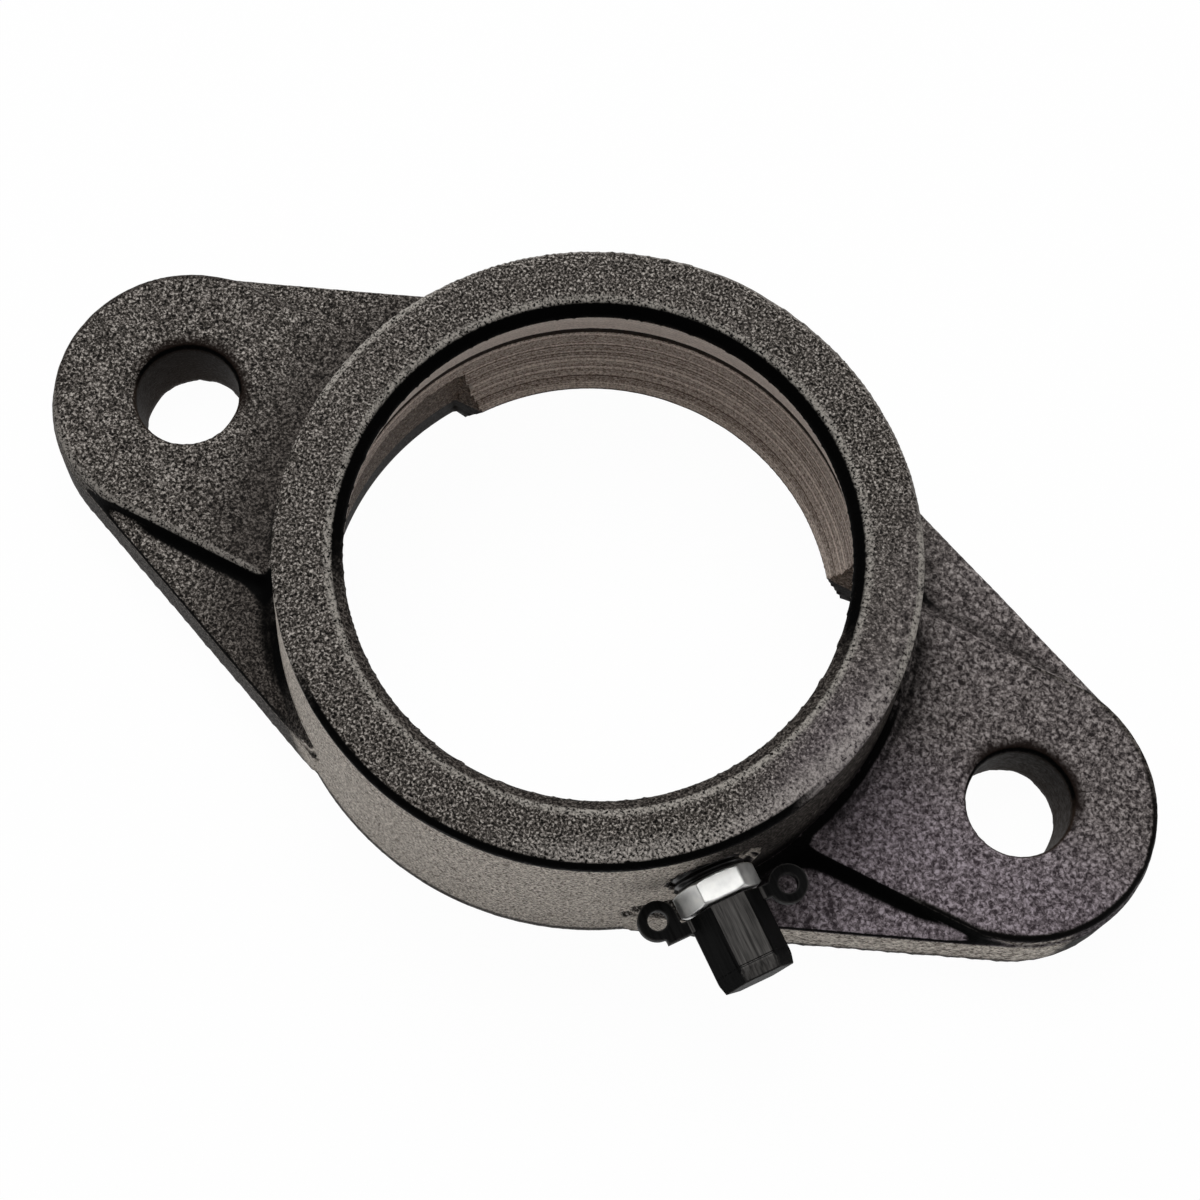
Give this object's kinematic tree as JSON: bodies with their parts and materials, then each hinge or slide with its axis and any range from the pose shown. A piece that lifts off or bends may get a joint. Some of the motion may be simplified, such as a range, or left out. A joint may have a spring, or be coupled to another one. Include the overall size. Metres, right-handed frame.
{
  "type": "flange bearing housing",
  "caption": "Rhombic cast-iron flange housing with a spherical insert-bearing seat, loading slots and a capped grease nipple; bolts flat to a wall.",
  "frame": {"origin": "on the bore axis, in the plane of the mounting face, midway between the bolt holes", "axes": "+X through both bolt holes, +Z along the bore axis away from the wall, the nipple between +X and -Y"},
  "size_m": [0.17, 0.09, 0.033],
  "materials": {
    "cast_iron": "sand-cast, thin dark coat, seat machined bare",
    "zinc_plated_steel": "bright zinc plate",
    "bearing_steel": "polished",
    "spring_steel": "drawn wire",
    "black_polyethylene": "moulded"
  },
  "bodies": {
    "block": {"housing": "cast_iron", "nipple_body": "zinc_plated_steel", "check_spring": "spring_steel"},
    "ball": {"check_ball": "bearing_steel"},
    "cap": {"dust_cap": "black_polyethylene"}
  },
  "joints": [
    {"name": "cap_pull_off", "type": "slide", "parent": "block", "child": "cap", "axis": [0.788, -0.6157, 0], "range_m": [0, 0.01]},
    {"name": "check_ball_lift", "type": "slide", "parent": "block", "child": "ball", "axis": [-0.788, 0.6157, 0], "range_m": [0, 0.001], "stiffness_N_per_m": 300, "springref_m": -0.001, "deforming": ["check_spring"]}
  ]
}
